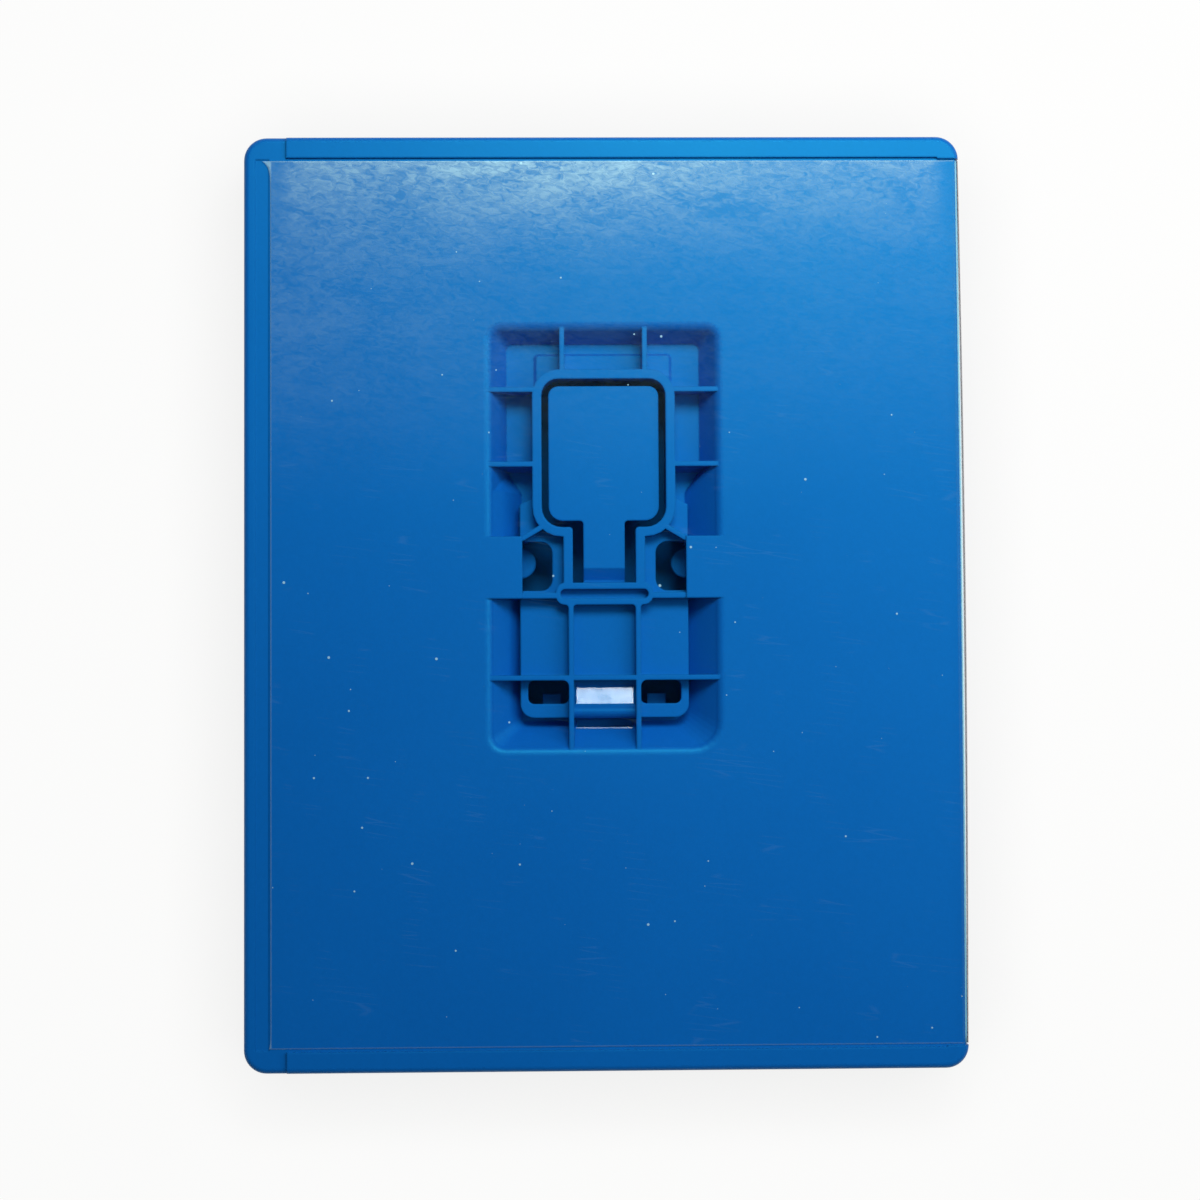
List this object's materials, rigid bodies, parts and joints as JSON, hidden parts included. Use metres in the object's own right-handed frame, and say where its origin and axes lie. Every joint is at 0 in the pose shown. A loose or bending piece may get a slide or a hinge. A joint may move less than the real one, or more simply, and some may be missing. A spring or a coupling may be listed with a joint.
{
  "type": "handheld game case",
  "caption": "Moulded plastic case for a handheld console game card, folded round its spine on living hinges, with a ribbed card tray, a push tongue and a clear sleeve film.",
  "frame": {"origin": "centre of the outline, at the level of the front cover's rims, on which the closed case lies", "axes": "+X from the opening edge to the spine, +Y up the cover, +Z out of the back cover"},
  "size_m": [0.104, 0.135, 0.013],
  "materials": {
    "case_plastic": "blue polypropylene, fine satin grain, moulded in one colour",
    "sleeve_film": "clear soft film, glossy, lightly scratched and dusty"
  },
  "bodies": {
    "front_cover": {"front_cover": "case_plastic", "sleeve_front": "sleeve_film"},
    "spine": {"spine": "case_plastic", "sleeve_spine": "sleeve_film"},
    "back_cover": {"back_cover": "case_plastic", "sleeve_back": "sleeve_film"},
    "push_tongue": {"push_tongue": "case_plastic"}
  },
  "joints": [
    {"name": "front_fold", "type": "hinge", "parent": "front_cover", "child": "spine", "pos_m": [0.05155, 0, 0.0007], "axis": [0, 1, 0], "range_deg": [0, 90]},
    {"name": "rear_fold", "type": "hinge", "parent": "spine", "child": "back_cover", "pos_m": [0.05155, 0, 0.0123], "axis": [0, 1, 0], "range_deg": [0, 90]},
    {"name": "tongue_bend", "type": "hinge", "parent": "back_cover", "child": "push_tongue", "pos_m": [0, 0.00264, 0.0099], "axis": [1, 0, 0], "range_deg": [0, 2], "stiffness_Nm_per_rad": 0.05, "springref_deg": -2.86}
  ]
}
